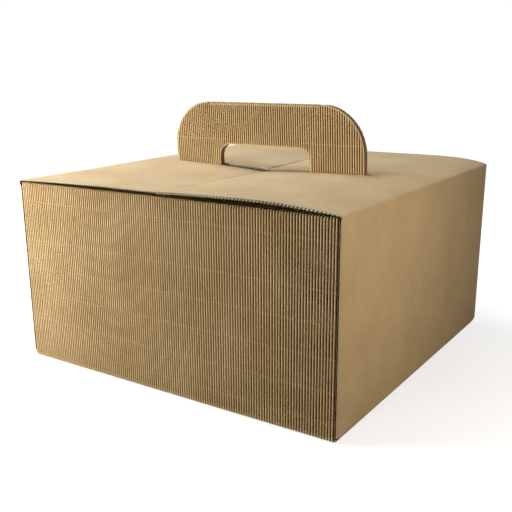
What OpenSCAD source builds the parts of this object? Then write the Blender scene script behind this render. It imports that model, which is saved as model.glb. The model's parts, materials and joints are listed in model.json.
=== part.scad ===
// Handled lunch box folded from two strips of open-fluted card.
// One strip has its flutes outside: bottom, front, lid, handle, back.
// The other has its smooth liner outside: two sides, with a slit flap on each.

/* [Box] */
// Outside width, across the fluted front
box_w = 330; // [260:1:420]
// Outside depth, from the front flutes to the back flutes
box_d = 320; // [250:1:400]
// Height of the creases where the flaps leave the sides
box_h = 171; // [120:1:240]

/* [Card] */
// Thickness of the card, liner and flutes together
card_t = 2; // [1.6:0.1:2.6]
// Card left under the bottom of a flute's valley
valley_t = 0.6; // [0.4:0.1:0.8]
// Distance from one flute to the next
flute_pitch = 2.4; // [2.2:0.1:3.6]
// Inside radius of a right-angled fold
fold_inner_r = 1.2; // [0.8:0.1:2]

/* [Handle] */
// Length of the handle, along the front of the box
handle_l = 212; // [160:1:240]
// Height of the handle above the flap creases
handle_rise = 66; // [55:1:85]
// Thickness of the handle, across both leaves and the gap between them
handle_t = 9; // [7:0.5:12]
// Radius of the handle's upper corners
handle_corner_r = 44; // [20:1:50]
// How far the handle stands behind the middle of the box
handle_setback = 0; // [-20:1:20]
// Length of the finger hole
hole_l = 102; // [80:1:115]
// Height of the finger hole's top edge above the flap creases
hole_rise = 25; // [18:1:30]
// Radius of the finger hole's upper corners
hole_corner_r = 12; // [5:1:16]

/* [Lid and flaps] */
// Length of the tuck flap that goes down inside the back wall
tuck_l = 36; // [20:1:60]
// How far the left flap swells above its crease
left_bow = 2.6; // [0:0.1:6]
// How far the right flap swells above its crease
right_bow = 5.2; // [0:0.1:8]
// How far the flaps' meeting edges lie above their creases
meeting_rise = 2.7; // [0.5:0.1:4]

/* [Clearances] */
// Gap between neighbouring sheets of card
card_gap = 0.4; // [0.3:0.1:0.8]
// Gap along a flap's crease, where only the liner joins it to the side
crease_gap = 0.3; // [0.3:0.1:0.6]
// Gap between the two flaps where they meet
seam_gap = 0.8; // [0.6:0.1:1.6]
// Gap between a flap's slit and the handle
slit_gap = 0.6; // [0.4:0.1:1.5]

/* [Hidden] */
$fn = 48;

// A solid that cuts reaches this far past what it cuts
cut_over = 1;

// Outside radius of a fold in the card, and how far its ends lap into flat card
fold_r = fold_inner_r + card_t;
fold_lap = 0.2;

// The lid lies just under the flaps, and ends just inside the sides
lid_top = box_h - card_t - card_gap;
wrap_w = box_w - 2 * (card_t + card_gap);
flute_count = floor(wrap_w / flute_pitch);

// The faces of the handle, and the tuck flap's outer face inside the back wall
handle_front = handle_setback - handle_t / 2;
handle_back = handle_setback + handle_t / 2;
handle_top = box_h + handle_rise;
tuck_face = box_d / 2 - card_t - card_gap;

// The handle's round corners stop short of the sides and of the lid
corner_r = min(handle_corner_r, handle_rise - card_t, handle_l / 2 - fold_r);

// A flap runs from its crease to the middle of the box
flap_l = (box_w - seam_gap) / 2;
slit_w = handle_t + 2 * slit_gap;
slit_l = handle_l / 2 + slit_gap;

// Steps along a flap's swell, and how fast it leaves the crease
bow_steps = 16;
bow_power = 10;

fluted_colour = [0.71, 0.57, 0.36];
liner_colour = [0.80, 0.69, 0.48];

// Outline of a fluted sheet seen from its end: crests at y = 0, liner at y = card_t
function flute_points(count, pitch, valley) = [
    for (i = [0 : count - 1], corner = [[0.1, valley], [0.35, 0], [0.65, 0], [0.9, valley]])
        [(i + corner[0] - count / 2) * pitch, corner[1]]
];

module fluted_sheet(height) {
    valley = card_t - valley_t;
    ends = [[wrap_w / 2, valley], [wrap_w / 2, card_t], [-wrap_w / 2, card_t], [-wrap_w / 2, valley]];
    linear_extrude(height) polygon(concat(flute_points(flute_count, flute_pitch, valley), ends));
}

// A strip whose section is drawn across the box (y, z) and runs along x
module along_x(length) {
    rotate([90, 0, 90]) linear_extrude(length, center = true) children();
}

// A strip whose section is drawn from the front (x, z) and runs along y
module along_y(length) {
    rotate([90, 0, 0]) linear_extrude(length, center = true) children();
}

// A quarter turn of card about its centre: turn 0 is the upper right quarter.
// A short straight end on each side laps into the flat card next to it.
module fold(turn) {
    rotate(90 * turn) {
        intersection() {
            difference() {
                circle(fold_r);
                circle(fold_inner_r);
            }
            square(fold_r);
        }
        translate([fold_inner_r, -fold_lap]) square([card_t, fold_lap]);
        translate([-fold_lap, fold_inner_r]) square([fold_lap, card_t]);
    }
}

// Rectangle given by its two corners
module span(low, high) {
    translate(low) square(high - low);
}

// Section of the wrap's folds, where the flutes are crushed
module wrap_folds() {
    translate([fold_r - box_d / 2, fold_r]) fold(2);
    translate([box_d / 2 - fold_r, fold_r]) fold(3);
    translate([fold_r - box_d / 2, lid_top - fold_r]) fold(1);
    translate([tuck_face - fold_r, lid_top - fold_r]) fold(0);
}

// A fluted sheet lying from low to high along y, crests down on the plane z = 0
module lying_sheet(low, high) {
    translate([0, high, 0]) rotate([90, 0, 0]) fluted_sheet(high - low);
}

// The wrap's lying panels, crests outwards: bottom, front lid panel and rear lid panel
module wrap_panels() {
    lying_sheet(fold_r - box_d / 2, box_d / 2 - fold_r);
    translate([0, 0, lid_top]) mirror([0, 0, 1]) {
        lying_sheet(fold_r - box_d / 2, handle_front + card_t);
        lying_sheet(handle_back - card_t, tuck_face - fold_r);
    }
}

// Outline of a handle leaf from the front, with its finger hole
module leaf_outline() {
    difference() {
        union() {
            span([-handle_l / 2, lid_top - card_t], [handle_l / 2, handle_top - corner_r]);
            span([corner_r - handle_l / 2, lid_top - card_t], [handle_l / 2 - corner_r, handle_top - fold_r]);
            for (side = [-1, 1])
                translate([side * (handle_l / 2 - corner_r), handle_top - corner_r]) intersection() {
                    circle(corner_r, $fn = 96);
                    translate([side * corner_r / 2, corner_r / 2]) square(corner_r, center = true);
                }
        }
        span([-hole_l / 2, lid_top - card_t - cut_over], [hole_l / 2, box_h + hole_rise - hole_corner_r]);
        span([hole_corner_r - hole_l / 2, lid_top], [hole_l / 2 - hole_corner_r, box_h + hole_rise]);
        for (side = [-1, 1])
            translate([side * (hole_l / 2 - hole_corner_r), box_h + hole_rise - hole_corner_r]) circle(hole_corner_r);
    }
}

// One leaf, flutes towards the front and crests on the plane y = 0
module handle_leaf() {
    intersection() {
        translate([0, 0, lid_top - card_t]) fluted_sheet(handle_top);
        translate([0, card_t / 2, 0]) along_y(card_t + cut_over) leaf_outline();
    }
}

// Section of the fold that joins the two leaves along the handle's top
module handle_fold() {
    translate([handle_front + fold_r, handle_top - fold_r]) fold(1);
    translate([handle_back - fold_r, handle_top - fold_r]) fold(0);
    if (handle_t > 2 * fold_r)
        span([handle_front + fold_r, handle_top - card_t], [handle_back - fold_r, handle_top]);
}

module fluted_wrap() {
    color(fluted_colour) union() {
        along_x(wrap_w) wrap_folds();
        wrap_panels();
        translate([0, -box_d / 2, fold_r]) fluted_sheet(lid_top - 2 * fold_r);
        translate([0, box_d / 2, fold_r]) mirror([0, 1, 0]) fluted_sheet(lid_top - fold_r);
        translate([0, tuck_face, lid_top - fold_r - tuck_l]) mirror([0, 1, 0]) fluted_sheet(tuck_l);
        translate([0, handle_front, 0]) handle_leaf();
        translate([0, handle_back, 0]) mirror([0, 1, 0]) handle_leaf();
        along_x(handle_l - 2 * corner_r) handle_fold();
    }
}

// Section of the side wrap's bottom and folds, which lie on the fluted bottom
module side_bands() {
    side = box_w / 2;
    span([fold_r - side, card_t], [side - fold_r, 2 * card_t]);
    translate([fold_r - side, card_t + fold_r]) fold(2);
    translate([side - fold_r, card_t + fold_r]) fold(3);
}

module side_wrap() {
    wall_top = box_h - card_t - crease_gap;
    color(liner_colour) union() {
        along_y(box_d - 2 * (fold_r + card_gap)) side_bands();
        for (side = [-1, 1])
            along_y(box_d) translate([side * (box_w - card_t) / 2, (card_t + fold_r + wall_top) / 2])
                square([card_t, wall_top - card_t - fold_r], center = true);
    }
}

// Height of a flap's upper face above its crease, at a share of the way to the seam
function flap_rise(share, bow) =
    bow * (1 - pow(1 - share, bow_power)) - (bow - meeting_rise) * pow(share, 3);

// Section of the right flap, crease on the right
module flap_section(bow) {
    upper = [for (i = [0 : bow_steps]) let (share = pow(i / bow_steps, 2))
        [box_w / 2 - share * flap_l, box_h + flap_rise(share, bow)]];
    lower = [for (i = [bow_steps : -1 : 0]) upper[i] - [0, card_t]];
    polygon(concat(upper, lower));
}

// The right flap: liner up, with a slit for half of the handle, open at the seam
module flap(bow) {
    difference() {
        along_y(box_d) flap_section(bow);
        translate([-cut_over, handle_setback - slit_w / 2, lid_top])
            cube([slit_l + cut_over, slit_w, card_t + card_gap + bow + meeting_rise + cut_over]);
    }
}

module left_flap() {
    color(liner_colour) mirror([1, 0, 0]) flap(left_bow);
}

module right_flap() {
    color(liner_colour) flap(right_bow);
}

fluted_wrap();
side_wrap();
left_flap();
right_flap();
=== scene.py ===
# %% [markdown]
# # Handled lunch box
#
# This box is folded from two strips of open-fluted kraft card. Such card has two
# papers: a flat one, the liner, and a wavy one, the flutes, glued along its crests.
# One strip has its flutes outside and makes the front, lid, handle and back. The other
# has its liner outside and makes the two sides and the two slit flaps on top.
#
# We start with the imported solids. They give the box's place and size, and they carry
# the joints. Every paper replaces a solid; all but the side liners move with its body.

# %% Load the solids
import json
import math

import bmesh
import bpy
import numpy as np
from mathutils import Matrix, Vector


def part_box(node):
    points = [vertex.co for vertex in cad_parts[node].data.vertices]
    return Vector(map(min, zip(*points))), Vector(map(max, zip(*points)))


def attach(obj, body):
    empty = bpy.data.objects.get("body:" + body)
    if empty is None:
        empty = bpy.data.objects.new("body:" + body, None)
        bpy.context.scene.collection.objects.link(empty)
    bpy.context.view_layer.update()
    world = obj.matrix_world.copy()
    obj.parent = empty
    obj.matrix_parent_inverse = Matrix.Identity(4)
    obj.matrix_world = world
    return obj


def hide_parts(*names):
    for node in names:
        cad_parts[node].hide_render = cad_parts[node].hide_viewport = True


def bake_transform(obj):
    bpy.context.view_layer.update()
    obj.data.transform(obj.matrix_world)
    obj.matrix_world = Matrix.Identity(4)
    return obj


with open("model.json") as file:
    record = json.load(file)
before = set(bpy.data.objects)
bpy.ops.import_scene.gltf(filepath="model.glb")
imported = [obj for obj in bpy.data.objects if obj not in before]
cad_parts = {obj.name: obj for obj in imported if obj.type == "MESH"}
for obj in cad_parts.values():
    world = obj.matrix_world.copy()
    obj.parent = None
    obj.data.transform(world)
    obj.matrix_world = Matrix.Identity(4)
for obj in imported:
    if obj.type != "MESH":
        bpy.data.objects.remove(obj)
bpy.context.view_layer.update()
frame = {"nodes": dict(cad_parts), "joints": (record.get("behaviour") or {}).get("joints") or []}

_, wrap_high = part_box("fluted_wrap")
_, side_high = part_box("side_wrap")
crease = {j["child"]: Vector(j["pos_m"]) for j in frame["joints"]}
print("solids:", sorted(frame["nodes"]), "creases:", sorted(crease))

# %% [markdown]
# The sizes of the card are the same as in the solids: 2 mm thick, with a flute every
# 2.4 mm. Both papers have a thickness of their own here, and the flutes are hollow.

# %% Sizes of the card and of the box, in metres
CARD = 0.002
PITCH = 0.0024
LINER = 0.00032
MEDIUM = 0.00020
FLUTE = CARD - LINER - MEDIUM
TOOTH = 0.00317

HALF_W = side_high.x
HALF_D = side_high.y
HALF_WRAP = wrap_high.x
CREASE_Z = crease["right_flap"].z
LID_Z = CREASE_Z - CARD - 0.0004
HANDLE_TOP = wrap_high.z
INNER = 0.0012

HALF_HANDLE = 0.106
HANDLE_R = 0.044
HANDLE_Y = 0.0
HALF_GRIP = 0.0045
HALF_HOLE = 0.051
HOLE_R = 0.012
HOLE_TOP = CREASE_Z + 0.025
TUCK = 0.036
LEFT_BOW, RIGHT_BOW, MEETING = 0.0026, 0.0052, 0.0027
SEAM = 0.0004
SLIT_HALF = HALF_GRIP + 0.0006
SLIT_END = HALF_HANDLE + 0.0006
print("box %.0f x %.0f x %.0f mm" % (2000 * HALF_W, 2000 * HALF_D, 1000 * CREASE_Z))

# %% [markdown]
# A sheet of card is cut flat and then folded. We do the same. The fold is a path: a
# line seen from the sheet's side, straight between the folds and round in each fold.
# A corner is given by its two coordinates and the radius of its fold.


# %% Path of a folded strip
def folded(corners, steps=6):
    points, folds = [], []
    for i, (a, b, radius) in enumerate(corners):
        here = Vector((a, b))
        if not radius:
            points.append(here)
            continue
        back = (Vector(corners[i - 1][:2]) - here).normalized()
        ahead = (Vector(corners[i + 1][:2]) - here).normalized()
        half = back.angle(ahead) / 2
        middle = here + (back + ahead).normalized() * radius / math.sin(half)
        start = here + back * radius / math.tan(half) - middle
        end = here + ahead * radius / math.tan(half) - middle
        folds.append((len(points), len(points) + steps))
        turn = start.angle_signed(end)
        for k in range(steps + 1):
            angle = -turn * k / steps
            points.append(middle + Vector((
                start.x * math.cos(angle) - start.y * math.sin(angle),
                start.x * math.sin(angle) + start.y * math.cos(angle),
            )))
    lengths = [0.0]
    for before, here in zip(points, points[1:]):
        lengths.append(lengths[-1] + (here - before).length)
    return points, lengths, [(lengths[a], lengths[b]) for a, b in folds]


def path_object(name, points, place):
    curve = bpy.data.curves.new(name, "CURVE")
    curve.dimensions = "3D"
    line = curve.splines.new("POLY")
    line.points.add(len(points) - 1)
    for point, flat in zip(line.points, points):
        point.co = (*place(flat), 1)
    made = bpy.data.objects.new(name, curve)
    bpy.context.scene.collection.objects.link(made)
    return made


# %% [markdown]
# The first strip runs from the top of the back wall down, under the bottom, up the
# front, over the lid, up and down the two leaves of the handle, and ends in a tuck
# flap inside the back wall. The path is its inner face, drawn in y and z.

# %% Path of the fluted strip
wall = HALF_D - CARD
leaf = HALF_GRIP - CARD
inside_lid = LID_Z - CARD
tuck_wall = HALF_D - 2 * CARD - 0.0004
wrap_points, wrap_lengths, wrap_folds = folded([
    (wall, LID_Z, 0),
    (wall, CARD, INNER),
    (-wall, CARD, INNER),
    (-wall, inside_lid, 0.0006),
    (HANDLE_Y - leaf, inside_lid, INNER + CARD),
    (HANDLE_Y - leaf, HANDLE_TOP - CARD, INNER),
    (HANDLE_Y + leaf, HANDLE_TOP - CARD, INNER),
    (HANDLE_Y + leaf, inside_lid, INNER + CARD),
    (tuck_wall, inside_lid, INNER),
    (tuck_wall, inside_lid - TUCK, 0),
])
wrap_path = path_object("wrap_path", wrap_points, lambda p: (0, p.x, p.y))
print("fluted strip: %.0f mm long" % (1000 * wrap_lengths[-1]))

# %% [markdown]
# The shoulders of a leaf stand up beside the fold on top, to the same height. So each
# leaf has a short path of its own: in from the lid, round the fold at its foot, and
# straight up. The rear leaf's path is the mirror image of the front one's.

# %% Paths of the two leaves
FOOT_RUN = 0.010
leaf_points, leaf_lengths, ((foot_in, foot_out),) = folded([
    (-leaf - FOOT_RUN, inside_lid, 0),
    (-leaf, inside_lid, INNER + CARD),
    (-leaf, HANDLE_TOP, 0),
])
front_path = path_object("front_path", leaf_points, lambda p: (0, HANDLE_Y + p.x, p.y))
rear_path = path_object("rear_path", leaf_points, lambda p: (0, HANDLE_Y - p.x, p.y))

# %% [markdown]
# The second strip makes both sides. Its path is its outer face, from the middle of
# the bottom, round the lower fold, up the side, over the crease and along the flap.
# A flap leaves its crease steeply, swells, and sinks again towards the seam, because
# the lid under it holds it up. The left path mirrors the right one.


# %% Paths of the two sides
def flap_height(share, bow):
    rise = bow * (1 - (1 - share) ** 10)
    return CREASE_Z + rise - (bow - MEETING) * share ** 3


def side_path(name, sign, bow):
    reach = HALF_W - SEAM
    swell = [(HALF_W - share * reach, flap_height(share, bow), 0)
             for share in [(k / 24) ** 2 for k in range(3, 25)]]
    points, lengths, folds = folded([
        (0.001, CARD, 0),
        (HALF_W, CARD, INNER + CARD),
        (HALF_W, CREASE_Z, 0.0008),
        *swell,
    ])
    place = path_object(name, points, lambda p: (sign * p.x, 0, p.y))
    return place, points, lengths, folds


left_path, left_points, left_lengths, left_folds = side_path("left_path", -1, LEFT_BOW)
right_path, right_points, right_lengths, right_folds = side_path("right_path", 1, RIGHT_BOW)
print("side strip: %.0f mm long" % (1000 * (left_lengths[-1] + right_lengths[-1])))

# %% [markdown]
# Kraft paper is a brown felt of wood fibres. Three things make it look real: slow
# changes of tone, fine streaks along the way the paper ran through the machine, and
# single darker or paler fibres. All of them are noise textures on the object's own
# coordinates, stretched along the fibres. A little bump gives the surface its tooth.


# %% Kraft paper
def node(tree, kind, at, **values):
    made = tree.nodes.new(kind)
    made.location = at
    for key, value in values.items():
        setattr(made, key, value)
    return made


def noise(tree, source, at, scale, detail, stretch):
    place = node(tree, "ShaderNodeMapping", at)
    place.inputs["Scale"].default_value = stretch
    made = node(tree, "ShaderNodeTexNoise", (at[0] + 180, at[1]))
    made.inputs["Scale"].default_value = scale
    made.inputs["Detail"].default_value = detail
    tree.links.new(source, place.inputs["Vector"])
    tree.links.new(place.outputs["Vector"], made.inputs["Vector"])
    return made.outputs["Fac"]


def ramp(tree, source, at, stops):
    made = node(tree, "ShaderNodeValToRGB", at)
    band = made.color_ramp
    while len(band.elements) < len(stops):
        band.elements.new(0.5)
    for element, (place, colour) in zip(band.elements, stops):
        element.position = place
        element.color = colour
    tree.links.new(source, made.inputs["Fac"])
    return made.outputs["Color"]


def multiply(tree, first, second, at, share=1.0):
    made = node(tree, "ShaderNodeMix", at, data_type="RGBA", blend_type="MULTIPLY")
    made.inputs[0].default_value = share
    tree.links.new(first, made.inputs[6])
    tree.links.new(second, made.inputs[7])
    return made.outputs[2]


def grey(level):
    return (level, level, level, 1)


def tone(red, green, blue):
    def linear(value):
        value /= 255
        return value / 12.92 if value <= 0.04045 else ((value + 0.055) / 1.055) ** 2.4
    return (linear(red), linear(green), linear(blue), 1)


def kraft(name, dark, light, fibres, ripple=None, valley_shade_colour=None):
    made = bpy.data.materials.new(name)
    made.use_nodes = True
    tree = made.node_tree
    shader = tree.nodes["Principled BSDF"]
    shader.inputs["Roughness"].default_value = 0.82
    shader.inputs["Specular IOR Level"].default_value = 0.25
    place = node(tree, "ShaderNodeTexCoord", (-1400, 0)).outputs["Object"]
    along = [1.0 if axis == fibres else 5.0 for axis in "xyz"]
    cloud = noise(tree, place, (-1200, 300), 24, 3, (1, 1, 1))
    colour = ramp(tree, cloud, (-800, 300), [(0.3, dark), (0.7, light)])
    streak = noise(tree, place, (-1200, 0), 170, 4, along)
    colour = multiply(tree, colour, ramp(tree, streak, (-800, 0),
                      [(0.3, grey(0.86)), (0.65, grey(1.0))]), (-500, 200))
    fibre = noise(tree, place, (-1200, -300), 900, 2, [v * 0.8 for v in along])
    colour = multiply(tree, colour, ramp(tree, fibre, (-800, -300),
                      [(0.28, grey(0.72)), (0.40, grey(1.0))]), (-300, 100), 0.7)
    # Below about a third of the flute's height the colour turns dark brown: painted shade in the
    # flutes' hollows and the knife's nicks, where the crests keep the light out.
    if valley_shade_colour:
        flute = node(tree, "ShaderNodeAttribute", (-800, 600), attribute_name="flute")
        painted_valley_shade = ramp(tree, flute.outputs["Fac"], (-500, 600),
                    [(0.34, valley_shade_colour), (0.58, grey(1.0))])
        # Where the flutes are crushed, their tops are painted paler: partly real rubbed paper,
        # partly a painted highlight on the pressed and bent crests
        crushed = node(tree, "ShaderNodeAttribute", (-800, 900), attribute_name="kept")
        rubbed_and_highlight = ramp(tree, crushed.outputs["Fac"], (-500, 900),
                      [(0.76, grey(0.75)), (0.97, grey(0.0))])
        colour = multiply(tree, colour, painted_valley_shade, (-100, 300))
        pale = node(tree, "ShaderNodeMix", (50, 300), data_type="RGBA")
        pale.inputs[7].default_value = light
        tree.links.new(rubbed_and_highlight, pale.inputs[0])
        tree.links.new(colour, pale.inputs[6])
        colour = pale.outputs[2]
    tree.links.new(colour, shader.inputs["Base Color"])
    bump = node(tree, "ShaderNodeBump", (-300, -300))
    bump.inputs["Strength"].default_value = 0.35
    bump.inputs["Distance"].default_value = 0.00025
    tree.links.new(fibre, bump.inputs["Height"])
    last = bump
    if ripple:
        wave = node(tree, "ShaderNodeTexWave", (-800, -600), wave_type="BANDS",
                    bands_direction=ripple.upper())
        wave.inputs["Scale"].default_value = math.tau / 20 / PITCH
        wave.inputs["Distortion"].default_value = 0.0
        tree.links.new(place, wave.inputs["Vector"])
        last = node(tree, "ShaderNodeBump", (-100, -500))
        last.inputs["Strength"].default_value = 0.5
        last.inputs["Distance"].default_value = 0.00008
        tree.links.new(wave.outputs["Fac"], last.inputs["Height"])
        tree.links.new(bump.outputs["Normal"], last.inputs["Normal"])
    tree.links.new(last.outputs["Normal"], shader.inputs["Normal"])
    return made


side_liner = kraft("side_liner", tone(200, 177, 136), tone(212, 190, 149), "z", "y")
wrap_liner = kraft("wrap_liner", tone(190, 163, 120), tone(206, 180, 137), "y", "x")
# The dark colours given for the flutes below are painted shade in their hollows.
wrap_flutes = kraft("wrap_flutes", tone(204, 176, 128), tone(220, 194, 148), "x",
                    valley_shade_colour=(0.09, 0.055, 0.03, 1))
side_flutes = kraft("side_flutes", tone(176, 148, 104), tone(190, 162, 118), "y",
                    valley_shade_colour=(0.20, 0.14, 0.09, 1))
print("papers:", side_liner.name, wrap_liner.name, wrap_flutes.name, side_flutes.name)

# %% [markdown]
# Where the knife has cut, the paper shows its torn inside: pale, almost white fibres
# next to brown ones. Such an edge is a thin rim, so it has a plain mottled finish.

# %% Cut edge
cut_edge = kraft("cut_edge", tone(168, 150, 120), tone(222, 212, 190), "z")
# The dark colour given below is painted shade in the nicks of the knife's marks.
knife_edge = kraft("knife_edge", tone(138, 134, 108), tone(190, 186, 156), "z",
                   valley_shade_colour=(0.25, 0.25, 0.20, 1))

# %% [markdown]
# Both papers follow the same rule, so one tree of Geometry Nodes makes them all. It
# takes a flat cut sheet, x across the flutes and y along them, lifts each point by a
# cosine wave with rounded crests, and lays the sheet along its path. No two flutes are
# quite as high as each other, so each gets a random share of its height. The sheet's
# "kept" attribute says how much of a flute's height is left at each point: less in a
# crease, where the flutes are crushed. A liner is the same sheet with a wave of no
# height. "Slant" leans the waves over, which the knife's marks along a cut edge need.


# %% Tree that flutes a sheet and folds it
def card_tree():
    tree = bpy.data.node_groups.new("folded_card", "GeometryNodeTree")
    sockets = {}
    for name, kind in (("Sheet", "Geometry"), ("Path", "Object"), ("Across", "Vector"),
                       ("Pitch", "Float"), ("Slant", "Float"), ("Base", "Float"),
                       ("Flute", "Float"), ("Paper", "Material")):
        sockets[name] = tree.interface.new_socket(
            name=name, in_out="INPUT", socket_type="NodeSocket" + kind).identifier
    tree.interface.new_socket(name="Card", in_out="OUTPUT", socket_type="NodeSocketGeometry")
    given = node(tree, "NodeGroupInput", (-1200, 0)).outputs
    link = tree.links.new

    def math_node(operation, at, *inputs):
        made = node(tree, "ShaderNodeMath", at, operation=operation)
        for socket, value in zip(made.inputs, inputs):
            if isinstance(value, (int, float)):
                socket.default_value = value
            else:
                link(value, socket)
        return made.outputs[0]

    def vector_node(operation, at, first, second):
        made = node(tree, "ShaderNodeVectorMath", at, operation=operation)
        link(first, made.inputs[0])
        if second is not None:
            link(second, made.inputs["Scale" if operation == "SCALE" else 1])
        return made.outputs[0]

    flat = node(tree, "ShaderNodeSeparateXYZ", (-1000, 300))
    link(node(tree, "GeometryNodeInputPosition", (-1200, 300)).outputs[0], flat.inputs[0])
    phase = math_node("MULTIPLY_ADD", (-900, 500), flat.outputs["Y"], given["Slant"],
                      flat.outputs["X"])
    turns = math_node("DIVIDE", (-800, 400), phase, given["Pitch"])
    wave = math_node("COSINE", (-500, 400), math_node("MULTIPLY", (-650, 400), turns, math.tau))
    square = math_node("MULTIPLY", (-500, 250), wave, wave)
    rounder = math_node("MULTIPLY_ADD", (-350, 250), square, -0.15, 0.65)
    crest = math_node("MULTIPLY_ADD", (-200, 400), wave, rounder, 0.5)
    number = math_node("ROUND", (-650, 750), turns)
    uneven = node(tree, "FunctionNodeRandomValue", (-500, 750), data_type="FLOAT")
    uneven.inputs["Min"].default_value = 0.90
    uneven.inputs["Max"].default_value = 1.0
    uneven.inputs["Seed"].default_value = 7
    link(number, uneven.inputs["ID"])
    crest = math_node("MULTIPLY", (-50, 400), crest, uneven.outputs["Value"])
    kept = node(tree, "GeometryNodeInputNamedAttribute", (-500, 600), data_type="FLOAT")
    kept.inputs["Name"].default_value = "kept"
    level = math_node("MULTIPLY", (-200, 500), crest, kept.outputs["Attribute"])
    height = math_node("MULTIPLY_ADD", (0, 400), level, given["Flute"], given["Base"])

    path = node(tree, "GeometryNodeObjectInfo", (-1000, -200), transform_space="ORIGINAL")
    link(given["Path"], path.inputs["Object"])
    place = node(tree, "GeometryNodeSampleCurve", (-700, -200), mode="LENGTH")
    link(path.outputs["Geometry"], place.inputs["Curves"])
    link(flat.outputs["Y"], place.inputs["Length"])
    out = vector_node("NORMALIZE", (-300, -300), vector_node(
        "CROSS_PRODUCT", (-450, -300), given["Across"], place.outputs["Tangent"]), None)
    across = vector_node("SCALE", (-300, -100), given["Across"], flat.outputs["X"])
    raised = vector_node("SCALE", (-100, -200), out, height)
    where = vector_node("ADD", (100, -100), vector_node(
        "ADD", (0, 0), place.outputs["Position"], across), raised)

    note = node(tree, "GeometryNodeStoreNamedAttribute", (100, 200), data_type="FLOAT",
                domain="POINT")
    note.inputs["Name"].default_value = "flute"
    link(given["Sheet"], note.inputs["Geometry"])
    link(level, note.inputs["Value"])
    bend = node(tree, "GeometryNodeSetPosition", (300, 100))
    link(note.outputs["Geometry"], bend.inputs["Geometry"])
    link(where, bend.inputs["Position"])
    whole = node(tree, "GeometryNodeRealizeInstances", (500, 100))
    link(bend.outputs["Geometry"], whole.inputs["Geometry"])
    paper = node(tree, "GeometryNodeSetMaterial", (700, 100))
    link(whole.outputs["Geometry"], paper.inputs["Geometry"])
    link(given["Paper"], paper.inputs["Material"])
    link(paper.outputs["Geometry"], node(tree, "NodeGroupOutput", (900, 100)).inputs[0])
    return tree, sockets


folded_card, card_inputs = card_tree()
print("inputs of the tree:", ", ".join(card_inputs))

# %% [markdown]
# The flat sheet itself is a grid. Its columns run along the flutes, eight for each
# flute, so that the wave is round. Its rows are close together in the folds, where the
# sheet bends, and far apart on the flat, where nothing changes. `rows_at` gives the
# rows of each column, so that a column can end at a curved outline, and `gone` leaves
# out the cells of a slit.


# %% Flat sheets
def spread(low, high, step, extra=()):
    count = max(1, round((high - low) / step))
    values = [low + (high - low) * k / count for k in range(count + 1)]
    for value in extra:
        near = min(range(len(values)), key=lambda k: abs(values[k] - value))
        values[near] = value
    return sorted(set(values))


def flat_sheet(name, columns, rows_at, kept=lambda x, s: 1.0, gone=None, nick=None):
    rows = [rows_at(x) for x in columns]
    count = len(rows[0])
    points = [(x, s, 0) for x, column in zip(columns, rows) for s in column]
    if nick:
        for k in range(count):
            x, s, _ = points[k]
            points[k] = (x + nick(s), s, 0)
            x, s, _ = points[-1 - k]
            points[-1 - k] = (x - nick(s), s, 0)
    cells = []
    for i in range(len(columns) - 1):
        for j in range(count - 1):
            a, b = i * count + j, (i + 1) * count + j
            if gone:
                middle_x = (columns[i] + columns[i + 1]) / 2
                middle_s = (rows[i][j] + rows[i + 1][j + 1]) / 2
                if gone(middle_x, middle_s):
                    continue
            cells.append((a, b, b + 1, a + 1))
    mesh = bpy.data.meshes.new(name)
    mesh.from_pydata(points, [], cells)
    values = mesh.attributes.new("kept", "FLOAT", "POINT")
    values.data.foreach_set("value", [kept(p[0], p[1]) for p in points])
    return mesh


# %% [markdown]
# A box that has been folded by hand isn't quite square. Its corners are out by a
# millimetre or two, and its handle leans forwards and to the left. `lean` moves every
# point by a blend of small shifts, one for each corner, so all papers still fit each
# other. The front's top edge stands a little proud of the lid, most in the middle, and
# the lid sags just behind it.

# %% How the folded box departs from a square one
CORNER_SHIFTS = {
    (-1, -1, 1): (-0.0020, 0.0003, 0.0003),
    (1, -1, 1): (0.0003, 0.0001, 0.0),
    (-1, -1, 0): (-0.0014, 0.0, 0.0),
    (1, -1, 0): (-0.0005, 0.0, 0.0),
    (1, 1, 1): (0.0014, 0.0003, 0.0008),
    (1, 1, 0): (-0.0003, -0.0003, 0.0),
}
HANDLE_LEAN = (-0.0012, -0.0018, 0.0)
HANDLE_TILT = 0.0007
FRONT_LIFT, CROWN, LID_DIP = 0.0012, 0.0008, 0.0030


def smooth(t):
    t = np.clip(t, 0, 1)
    return t * t * (3 - 2 * t)


def lean(co):
    across = (co[:, 0] / HALF_W + 1) / 2
    depth = (co[:, 1] / HALF_D + 1) / 2
    height = np.clip(co[:, 2] / CREASE_Z, 0, 1)
    moved = co.copy()
    for (x, y, z), shift in CORNER_SHIFTS.items():
        weight = (across if x > 0 else 1 - across) * (depth if y > 0 else 1 - depth)
        weight = weight * (height if z else 1 - height)
        moved += weight[:, None] * np.array(shift)
    up = np.clip((co[:, 2] - CREASE_Z) / (HANDLE_TOP - CREASE_Z), 0, 1)
    moved += up[:, None] * np.array(HANDLE_LEAN)
    moved[:, 2] -= HANDLE_TILT * up * co[:, 0] / HALF_HANDLE
    return moved


def crown(co):
    moved = co.copy()
    up = smooth((co[:, 2] - 0.08) / (LID_Z - 0.08))
    behind = co[:, 1] + HALF_D
    middle = 1 - np.abs(co[:, 0] / HALF_WRAP) ** 3
    crest = (FRONT_LIFT + CROWN * middle) * (1 - smooth(behind / 0.010))
    dip = LID_DIP * smooth((behind - 0.0015) / 0.010) * (1 - smooth((behind - 0.02) / 0.06))
    moved[:, 2] += up * (crest - dip)
    return moved


# %% [markdown]
# The flaps are not flat either. A flap bows up from its crease and comes down again to
# the seam. It lies low beside the handle, where its slit has been pushed over the
# handle's foot, and swells more towards its free back edge. Five lines across the box,
# at the front edge, just behind it, on both sides of the handle and at the back edge,
# say how: the height of the bow, how fast it leaves the crease, and the height of the
# meeting edge.

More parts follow.
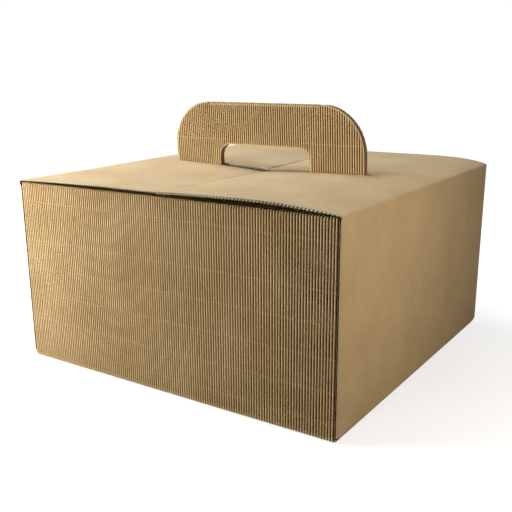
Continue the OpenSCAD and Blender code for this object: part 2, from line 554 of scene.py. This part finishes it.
# %% How the flaps lie
FLAP_LINES = {
    "left": ((-HALF_D, 0.0030, 3, 0.0030), (-0.105, 0.0034, 8, 0.0022),
             (HANDLE_Y - 0.005, 0.0060, 10, 0.0011), (HANDLE_Y + 0.014, 0.0064, 10, 0.0030),
             (HALF_D, 0.0082, 10, 0.0062)),
    "right": ((-HALF_D, 0.0058, 5, 0.0032), (-0.105, 0.0054, 6, 0.0022),
              (HANDLE_Y - 0.005, 0.0048, 8, 0.0011), (HANDLE_Y + 0.014, 0.0052, 9, 0.0026),
              (HALF_D, 0.0064, 8, 0.0066)),
}


def flap_rise(side, share, y):
    lines = FLAP_LINES[side]
    height = np.zeros_like(share)
    for k, (place, bow, power, meeting) in enumerate(lines):
        weight = np.ones_like(y)
        if k > 0:
            before = lines[k - 1][0]
            weight = np.minimum(weight, smooth((y - before) / (place - before)))
        if k < len(lines) - 1:
            after = lines[k + 1][0]
            weight = np.minimum(weight, 1 - smooth((y - place) / (after - place)))
        rise = bow * (1 - (1 - share) ** power) - (bow - meeting) * share ** 3
        height += weight * rise
    return height


def settle(side, bow):
    """Moves a flap's points from the plain swell of its path, or from a flat strip."""
    def move(co):
        share = np.clip((HALF_W - np.abs(co[:, 0])) / (HALF_W - SEAM), 0, 1)
        lift = flap_rise(side, share, co[:, 1])
        if bow is not None:
            lift -= bow * (1 - (1 - share) ** 10) - (bow - MEETING) * share ** 3
        moved = co.copy()
        moved[:, 2] += lift * (co[:, 2] > CREASE_Z - 0.006)
        return moved
    return move


# %% [markdown]
# `card_paper` joins flat sheets into one object, runs the tree on it, gives the paper
# its thickness with Solidify, whose rim takes the finish of a cut edge, and turns the
# result into a plain mesh. Loose points of a slit go before that.


def card_paper(name, sheets, path, across, base, flute, paper, thickness, body,
               shape=None, pitch=PITCH, slant=0.0):
    whole = bmesh.new()
    for sheet in sheets:
        whole.from_mesh(sheet)
    loose = [v for v in whole.verts if not v.link_faces]
    bmesh.ops.delete(whole, geom=loose, context="VERTS")
    mesh = bpy.data.meshes.new(name)
    whole.to_mesh(mesh)
    whole.free()
    mesh.materials.append(paper)
    mesh.materials.append(cut_edge)
    piece = bpy.data.objects.new(name, mesh)
    bpy.context.scene.collection.objects.link(piece)
    fold = piece.modifiers.new("fold", "NODES")
    fold.node_group = folded_card
    for key, value in (("Path", path), ("Across", across), ("Pitch", pitch),
                       ("Slant", slant), ("Base", base), ("Flute", flute),
                       ("Paper", paper)):
        fold[card_inputs[key]] = value
    shell = piece.modifiers.new("paper", "SOLIDIFY")
    shell.thickness = thickness
    shell.offset = 0
    shell.use_even_offset = True
    shell.thickness_clamp = 0
    shell.material_offset_rim = 1
    ready = piece.evaluated_get(bpy.context.evaluated_depsgraph_get())
    plain = bpy.data.meshes.new_from_object(ready)
    piece.modifiers.clear()
    piece.data = plain
    plain.name = name
    co = np.empty(len(plain.vertices) * 3)
    plain.vertices.foreach_get("co", co)
    co = co.reshape(-1, 3)
    co = lean(shape(co) if shape else co)
    plain.vertices.foreach_set("co", co.ravel())
    plain.update()
    for face in plain.polygons:
        face.use_smooth = True
    plain.set_sharp_from_angle(angle=math.radians(50))
    if body:
        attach(piece, body)
    print("%s: %d faces" % (name, len(plain.polygons)))
    return piece


LINER_BASE = LINER / 2
MEDIUM_BASE = LINER + MEDIUM / 2
ACROSS = (1.0, 0.0, 0.0)


def wrap_paper(name, sheets, fluted, path=wrap_path, across=ACROSS):
    if fluted:
        return card_paper(name, sheets, path, across, MEDIUM_BASE, FLUTE,
                          wrap_flutes, MEDIUM, "box", crown)
    return card_paper(name, sheets, path, across, LINER_BASE, 0.0,
                      wrap_liner, LINER, "box", crown)


# %% [markdown]
# The paper machine that glues the flutes to the liner holds them with narrow fingers,
# and each finger leaves a faint line across all the flutes. They run across the front
# at uneven heights. In a fold the flutes are crushed more.

# %% Creases and finger lines of the fluted strip
(back_in, back_out), (front_in, _), (_, top_out), (base_in, _), \
    (grip_in, _), (_, turn_out), (_, rear_out), (_, tuck_out) = wrap_folds
FINGERS = [0.097, 0.310, 0.460, 0.612, 0.768, 0.915]
wall_fingers = [top_out - share * (top_out - front_in) for share in FINGERS]
wall_fingers += [back_in * share for share in FINGERS]
leaf_finger = foot_out + 0.031


def left_of_flute(s, folds, lines):
    kept = 1.0
    for line in lines:
        kept -= 0.16 * math.exp(-((s - line) / 0.0006) ** 2)
    for low, high in folds:
        away = max(low - s, s - high, 0)
        kept -= 0.22 * math.exp(-(away / 0.0012) ** 2)
    return kept


def wrap_kept(x, s):
    return left_of_flute(s, wrap_folds[:2] + wrap_folds[3:], wall_fingers)


def tidy_rows(rows, lines, low, high):
    rows = [s for s in rows if low - 1e-7 <= s <= high + 1e-7]
    lines = [s for s in lines if low + 0.003 < s < high - 0.003]
    rows = [s for s in rows if all(abs(s - line) > 0.002 for line in lines)]
    for line in lines:
        rows += [line - 0.0011, line - 0.0005, line, line + 0.0005, line + 0.0011]
    rows.sort()
    return [s for k, s in enumerate(rows) if k == 0 or s - rows[k - 1] > 1e-5]


def rows_between(low, high, step=0.012):
    rows = list(wrap_lengths) + spread(low, high, step)
    for fold_low, fold_high in wrap_folds:
        rows += [fold_low - 0.002, fold_low - 0.001, fold_high + 0.001, fold_high + 0.002]
    return tidy_rows(rows, wall_fingers, low, high)


# %% [markdown]
# Front wall, back wall, bottom, lid panels and tuck flap are plain rectangles of the
# strip. The front gets eight columns for each flute, and what shows less gets six.

# %% Walls, bottom and lid
FINE, COARSE = PITCH / 8, PITCH / 6
wall_fine = spread(-HALF_WRAP, HALF_WRAP, FINE)
wall_coarse = spread(-HALF_WRAP, HALF_WRAP, COARSE)
wall_plain = spread(-HALF_WRAP, HALF_WRAP, 0.008)
for name, low, high, columns in (
        ("front_flutes", front_in, top_out, wall_fine),
        ("back_flutes", 0.0, back_out, wall_coarse),
        ("bottom_flutes", back_out, front_in, wall_coarse),
        ("lid_flutes", top_out, base_in, wall_coarse),
        ("rear_lid_flutes", rear_out, tuck_out, wall_coarse),
        ("tuck_flutes", tuck_out, wrap_lengths[-1], wall_coarse)):
    rows = rows_between(low, high)
    wrap_paper(name, [flat_sheet(name, columns, lambda x: rows, wrap_kept)], True)
for name, low, high in (("wall_liner", 0.0, base_in),
                        ("rear_lid_liner", rear_out, wrap_lengths[-1])):
    rows = rows_between(low, high)
    wrap_paper(name, [flat_sheet(name, wall_plain, lambda x: rows)], False)

# %% [markdown]
# A leaf of the handle ends at a curve: straight sides, two large round corners, and a
# finger hole with small round corners. Each column is cut to that outline, so the cut
# edge shows the flutes' ends, as on the real handle. The knife presses them flat just
# inside the cut, so rows are close together there. Beside the fold on top the outline
# starts a little lower, or the corners would stand up like ears next to the round fold.


# %% Outline of a leaf
SHOULDER_DROP, SHOULDER_RUN = 0.0013, 0.004


def leaf_top(x):
    over = abs(x) - (HALF_HANDLE - HANDLE_R)
    if over <= 1e-6:
        return HANDLE_TOP - CARD - INNER
    lower = SHOULDER_DROP * math.exp(-over / SHOULDER_RUN)
    return HANDLE_TOP - lower - HANDLE_R + math.sqrt(max(HANDLE_R ** 2 - over ** 2, 0))


def hole_top(x):
    over = max(abs(x) - (HALF_HOLE - HOLE_R), 0)
    return HOLE_TOP - HOLE_R + math.sqrt(max(HOLE_R ** 2 - over ** 2, 0))


def leaf_station(z):
    return foot_out + z - (inside_lid + INNER + CARD)


def inside_outline(x, s):
    """How far a point of the leaf lies inside the nearest cut edge."""
    z = s - foot_out + inside_lid + INNER + CARD
    x = abs(x)
    if z < HANDLE_TOP - HANDLE_R:
        outer = HALF_HANDLE - x
    else:
        outer = HANDLE_R - math.hypot(max(x - HALF_HANDLE + HANDLE_R, 0),
                                      z - HANDLE_TOP + HANDLE_R)
        if x < HALF_HANDLE - HANDLE_R:
            outer = 1.0
    if z < HOLE_TOP - HOLE_R:
        hole = x - HALF_HOLE
    else:
        hole = math.hypot(max(x - HALF_HOLE + HOLE_R, 0), z - HOLE_TOP + HOLE_R) - HOLE_R
    return max(min(outer, hole), 0)


def leaf_kept(x, s):
    crushed = 0.75 * math.exp(-(inside_outline(x, s) / 0.0010) ** 2)
    return (1 - crushed) * left_of_flute(s, [(foot_in, foot_out)], [leaf_finger])


def column(low, high, near_cut_below):
    """Rows of a leaf's column: close at its cut ends and at the finger line."""
    ends = [high - d for d in (0.0030, 0.0014, 0.0006, 0.0)]
    starts = [low + d for d in ((0.0, 0.0006, 0.0014, 0.003) if near_cut_below
                                else (0.0, 0.004))]
    finger = [leaf_finger + d for d in (-0.0011, -0.0005, 0, 0.0005, 0.0011)]
    room = ends[0] - starts[-1]
    if not (starts[-1] + 0.001 < finger[0] and finger[-1] + 0.001 < ends[0]):
        finger = [starts[-1] + room * k / 6 for k in range(1, 6)]
    between = (finger[0] + starts[-1]) / 2, (finger[-1] + ends[0]) / 2
    return starts + [between[0]] + finger + [between[1]] + ends


def shoulder(x):
    fold = [s for s in leaf_lengths if foot_in - 1e-7 <= s < foot_out - 1e-7]
    return fold + column(foot_out, leaf_station(leaf_top(x)), False)


def bridge(x):
    return column(leaf_station(hole_top(x)), leaf_station(leaf_top(x)), True)


# %% Both leaves and the fold that joins them
half_fold = HALF_HANDLE - HANDLE_R
JUST = 2e-6
for name, path, across in (("front_leaf", front_path, (1.0, 0.0, 0.0)),
                           ("rear_leaf", rear_path, (-1.0, 0.0, 0.0))):
    for kind, step, fluted in (("flutes", FINE, True), ("liner", 0.0008, False)):
        bands = [(-HALF_HANDLE, -half_fold - JUST, shoulder), (-half_fold, -HALF_HOLE, shoulder),
                 (-HALF_HOLE, HALF_HOLE, bridge), (HALF_HOLE, half_fold, shoulder),
                 (half_fold + JUST, HALF_HANDLE, shoulder)]
        sheets = [flat_sheet(name, spread(low, high, step), rows, leaf_kept)
                  for low, high, rows in bands]
        wrap_paper(name + "_" + kind, sheets, fluted, path, across)

rows = rows_between(grip_in, turn_out)
wrap_paper("grip_flutes", [flat_sheet("grip", spread(-half_fold, half_fold, FINE),
                                      lambda x: rows, wrap_kept)], True)
wrap_paper("grip_liner", [flat_sheet("grip", spread(-half_fold, half_fold, 0.004),
                                     lambda x: rows)], False)

# %% [markdown]
# The sides and flaps show their liner. The flutes are inside, and they are cut apart at
# the crease: the wall's stay with the box and the flap's move with the flap. The knife
# that cut the card has eight teeth to the inch, and the liner's long edges keep their
# marks. A side's upright front edge curls in, and its crease is a little crumpled,
# which a sum of waves of odd lengths gives.


# %% Sides and flaps
SLIT = (HANDLE_Y - SLIT_HALF, HANDLE_Y + SLIT_HALF)
FOLD_END = HALF_D - INNER - CARD - 0.0004
NICK = 0.0004
CURL = {"left": 0.0020, "right": 0.0006}
CURL_DEPTH = 0.0035
CRUMPLE, WANDER = 0.00013, 0.0001


def handled(side, bow):
    """Curls a side's upright edges in and roughens its crease, then lays its flap down."""
    lie = settle(side, bow)

    def move(co):
        moved = co.copy()
        outwards = np.sign(co[:, 0])
        edge = np.clip((-co[:, 1] - HALF_D + CURL_DEPTH) / CURL_DEPTH, 0, 1)
        upright = 1 - smooth((co[:, 2] - CREASE_Z + 0.006) / 0.004)
        moved[:, 0] -= outwards * CURL[side] * edge ** 2 * upright
        y = co[:, 1] * 1000
        rough = np.sin(1.31 * y) + np.sin(0.77 * y + 1.1) + 0.8 * np.sin(2.3 * y + 0.4)
        slow = np.sin(0.11 * y + 0.5) + np.sin(0.047 * y)
        near = np.exp(-((co[:, 2] - CREASE_Z) / 0.0022) ** 2)
        near *= np.exp(-((np.abs(co[:, 0]) - HALF_W) / 0.003) ** 2)
        moved[:, 2] += CRUMPLE * rough * near
        moved[:, 0] += outwards * (0.00008 * rough + WANDER * slow) * near
        return lie(moved)
    return move


def side_rows(lengths, low, high, step):
    rows = [s for s in lengths if low - 1e-7 <= s <= high + 1e-7] + spread(low, high, step)
    rows.sort()
    return [s for k, s in enumerate(rows) if k == 0 or s - rows[k - 1] > 2e-4]


def side_gone(sign, slit_from, fold_to):
    def gone(x, s):
        y = sign * x
        if s < fold_to and abs(y) > FOLD_END:
            return True
        return SLIT[0] < y < SLIT[1] and s > slit_from
    return gone


for side, sign, path, points, lengths, folds, bow in (
        ("left", -1, left_path, left_points, left_lengths, left_folds, LEFT_BOW),
        ("right", 1, right_path, right_points, right_lengths, right_folds, RIGHT_BOW)):
    across = (0.0, float(sign), 0.0)
    (bottom_in, bottom_out), (crease_in, crease_out) = folds
    slit_from = min(s for p, s in zip(points, lengths) if s > crease_out and p.x < SLIT_END)
    slit_cut = [sign * SLIT[0], sign * SLIT[1], -FOLD_END, FOLD_END]
    gone = side_gone(sign, slit_from, bottom_out)
    flap = side + "_flap"
    lie = settle(side, bow)

    rows = side_rows(lengths, 0, bottom_in, 0.010)
    rows += side_rows(lengths, bottom_in, lengths[-1], TOOTH / 2)[1:]
    rows = sorted(set(rows + [slit_from]))
    columns = spread(-HALF_D, HALF_D, 0.0022, slit_cut)
    rims = [HALF_D - inset for inset in (0.0005, 0.0010, 0.0015)]
    columns = sorted(set(columns + rims + [-y for y in rims]))
    cut = flat_sheet(side, columns, lambda x: rows, gone=gone,
                     nick=lambda s: NICK * abs(2 * ((s / TOOTH) % 1) - 1))
    liner = card_paper(side + "_liner", [cut], path, across, -LINER_BASE, 0.0, side_liner,
                       LINER, None, handled(side, bow))
    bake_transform(liner)

    front_edge = -HALF_D + 0.0012 if side == "left" else -HALF_D + 0.0004
    ends = sorted((sign * front_edge, sign * (HALF_D - 0.0004)))
    columns = spread(*ends, COARSE, slit_cut)
    for name, low, high, body in (
            (side + "_wall_flutes", 0.0, crease_in - 0.0012, "box"),
            (side + "_flap_flutes", crease_out + 0.0004, lengths[-1], flap)):
        rows = side_rows(lengths, low, high, 0.010)
        rows = sorted(set(rows + [slit_from])) if low < slit_from < high else rows

        def kept(x, s):
            crease = 0.65 * math.exp(-((s - crease_in) / 0.010) ** 2)
            edge = 0.5 * math.exp(-((abs(x) - HALF_D) / 0.008) ** 2)
            return (1 - crease) * (1 - edge)
        card_paper(name, [flat_sheet(name, columns, lambda x: rows, kept, gone)],
                   path, across, -MEDIUM_BASE, -FLUTE, side_flutes, MEDIUM,
                   body, lie)

# %% [markdown]
# Along the flaps' edges the knife has crushed the flutes flat and left a rope-like row
# of slanted nicks. The same tree makes it: a narrow strip, as tall as the card is
# thick, with low waves at the pitch of the knife's teeth, leaning over.


# %% Cut edges of the flaps
def edge_strip(name, side, y, facing, reach, tall=0.0021):
    sign = 1 if side == "right" else -1
    start = CREASE_Z - 0.0001
    line = path_object("edge_path", [Vector((y, start)), Vector((y, start - tall))],
                       lambda p: (0, p.x, p.y))
    flat = sorted((facing * sign * SEAM, facing * sign * reach))

    def down(x):
        tooth = abs(2 * ((x / TOOTH) % 1) - 1)
        corner = 0.4 + 0.6 * smooth((HALF_W - abs(x)) / 0.030)
        return [tall * corner * (1 - 0.25 * tooth) * k / 4 for k in range(5)]
    sheet = flat_sheet(name, spread(*flat, TOOTH / 8), down)
    strip = card_paper(name, [sheet], line, (float(facing), 0.0, 0.0), -0.0005, 0.0006,
                       knife_edge, MEDIUM, side + "_flap",
                       settle(side, None), TOOTH, -0.9)
    bpy.data.objects.remove(line)
    return strip


for side, tall in (("left", 0.0011), ("right", 0.0021)):
    edge_strip(side + "_front_edge", side, -HALF_D, -1, HALF_W - 0.0016, tall)
    edge_strip(side + "_back_edge", side, HALF_D, 1, HALF_W - 0.0016)
    edge_strip(side + "_slit_edge", side, SLIT[1], -1, SLIT_END)

for helper in (wrap_path, front_path, rear_path, left_path, right_path):
    bpy.data.objects.remove(helper)

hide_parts("fluted_wrap")
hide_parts("side_wrap")
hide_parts("left_flap")
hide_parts("right_flap")

# %% [markdown]
# The photograph was taken from the right of the front and a little above, with the
# box on white. The camera's place comes from the box's own corners in the picture: it
# stands 2.3 box widths away and is tilted by half a degree.

# %% Camera
AZIMUTH, ELEVATION, ROLL = 0.5914, 0.2496, -0.0096
DISTANCE, RIGHTWARDS, UPWARDS = 2.2718, -0.0310, 0.2551
FOCAL_PIXELS, FRAME_PIXELS, SENSOR = 727.25, 512, 36.0
width = 2 * HALF_W
back = Vector((math.sin(AZIMUTH) * math.cos(ELEVATION),
               -math.cos(AZIMUTH) * math.cos(ELEVATION), math.sin(ELEVATION)))
right = (-back).cross(Vector((0, 0, 1))).normalized()
up = right.cross(-back)
camera_data = bpy.data.cameras.new("camera")
camera_data.sensor_width = SENSOR
camera_data.lens = FOCAL_PIXELS / FRAME_PIXELS * SENSOR
camera_data.clip_start = 0.01
camera = bpy.data.objects.new("camera", camera_data)
bpy.context.scene.collection.objects.link(camera)
bpy.context.scene.camera = camera
camera.location = (back * DISTANCE + right * RIGHTWARDS + up * UPWARDS) * width
turned_right = right * math.cos(ROLL) + up * math.sin(ROLL)
turned_up = up * math.cos(ROLL) - right * math.sin(ROLL)
camera.rotation_mode = "QUATERNION"
camera.rotation_quaternion = Matrix((turned_right, turned_up, back)).transposed().to_quaternion()
print("camera at", [round(v, 3) for v in camera.location])

# %% [markdown]
# The studio is white all round. Two soft lamps high on the left light the top, a small
# one near the front's left end rakes along the flutes, so their valleys grow darker to
# the right, and a weak warm one fills the side. The camera sees plain white behind the
# box. The floor is pale, keeps the soft shadow under the box, and is no part of the
# object.


# %% Light, world and floor
def soft_lamp(name, place, aim, size, watts, colour=(1, 1, 1)):
    light = bpy.data.lights.new(name, "AREA")
    light.shape = "DISK"
    light.size = size
    light.energy = watts
    light.color = colour
    lamp = bpy.data.objects.new(name, light)
    lamp.location = place
    lamp.rotation_mode = "QUATERNION"
    lamp.rotation_quaternion = (Vector(aim) - Vector(place)).to_track_quat("-Z", "Y")
    lamp.visible_camera = False
    bpy.context.scene.collection.objects.link(lamp)
    return lamp


AIM = (0.0, 0.0, 0.10)
LAMPS = (
    ("window_lamp", (-0.50, 0.10, 1.10), 0.40, 6.5, (1.0, 0.97, 1.0)),
    ("left_lamp", (-0.65, -0.25, 0.95), 0.40, 4.6, (1.0, 0.99, 1.0)),
    ("front_lamp", (-0.32, -0.48, 0.23), 0.16, 3.9, (1.0, 0.97, 0.92)),
    ("side_lamp", (0.46, -0.13, 0.22), 0.16, 0.60, (1.0, 0.84, 0.66)),
)
for name, place, size, watts, colour in LAMPS:
    soft_lamp(name, place, AIM, size, watts, colour)

scene = bpy.context.scene
scene.view_settings.view_transform = "Standard"
world = bpy.data.worlds.new("studio")
scene.world = world
world.use_nodes = True
tree = world.node_tree
tree.nodes.clear()
rays = node(tree, "ShaderNodeLightPath", (-800, 200))


def either(first, second, at):
    made = node(tree, "ShaderNodeMath", at, operation="MAXIMUM")
    tree.links.new(first, made.inputs[0])
    tree.links.new(second, made.inputs[1])
    return made.outputs[0]


seen = either(rays.outputs["Is Camera Ray"], rays.outputs["Is Glossy Ray"], (-600, 300))
seen = either(seen, rays.outputs["Is Transmission Ray"], (-400, 300))
ambient = node(tree, "ShaderNodeBackground", (-400, 0))
ambient.inputs["Color"].default_value = (1.0, 0.92, 0.80, 1)
ambient.inputs["Strength"].default_value = 0.02
white = node(tree, "ShaderNodeBackground", (-400, -200))
white.inputs["Color"].default_value = (1, 1, 1, 1)
mix = node(tree, "ShaderNodeMixShader", (-150, 100))
tree.links.new(seen, mix.inputs[0])
tree.links.new(ambient.outputs[0], mix.inputs[1])
tree.links.new(white.outputs[0], mix.inputs[2])
tree.links.new(mix.outputs[0], node(tree, "ShaderNodeOutputWorld", (50, 100)).inputs[0])

floor_mesh = bpy.data.meshes.new("floor")
reach = 6.0
floor_mesh.from_pydata([(-reach, -reach, 0), (reach, -reach, 0), (reach, reach, 0),
                        (-reach, reach, 0)], [], [(0, 1, 2, 3)])
floor = bpy.data.objects.new("floor", floor_mesh)
scene.collection.objects.link(floor)
floor_paint = bpy.data.materials.new("floor_paint")
floor_paint.use_nodes = True
tree = floor_paint.node_tree
tree.nodes.clear()
rays = node(tree, "ShaderNodeLightPath", (-800, 200))
seen = either(rays.outputs["Is Camera Ray"], rays.outputs["Is Glossy Ray"], (-600, 300))
seen = either(seen, rays.outputs["Is Transmission Ray"], (-400, 300))
matt = node(tree, "ShaderNodeBsdfDiffuse", (-400, 0))
matt.inputs["Color"].default_value = (0.35, 0.34, 0.33, 1)
glow = node(tree, "ShaderNodeEmission", (-400, -200))
place = node(tree, "ShaderNodeTexCoord", (-1200, -200)).outputs["Object"]
away = node(tree, "ShaderNodeVectorMath", (-1000, -200), operation="LENGTH")
tree.links.new(place, away.inputs[0])
fade = node(tree, "ShaderNodeMapRange", (-800, -200))
for socket, value in (("From Min", 0.18), ("From Max", 0.42), ("To Min", 0.74), ("To Max", 1.0)):
    fade.inputs[socket].default_value = value
tree.links.new(away.outputs["Value"], fade.inputs["Value"])
tree.links.new(fade.outputs["Result"], glow.inputs["Strength"])
bright = node(tree, "ShaderNodeAddShader", (-200, -100))
tree.links.new(matt.outputs[0], bright.inputs[0])
tree.links.new(glow.outputs[0], bright.inputs[1])
mix = node(tree, "ShaderNodeMixShader", (0, 100))
tree.links.new(seen, mix.inputs[0])
tree.links.new(matt.outputs[0], mix.inputs[1])
tree.links.new(bright.outputs[0], mix.inputs[2])
tree.links.new(mix.outputs[0], node(tree, "ShaderNodeOutputMaterial", (200, 100)).inputs[0])
floor_mesh.materials.append(floor_paint)
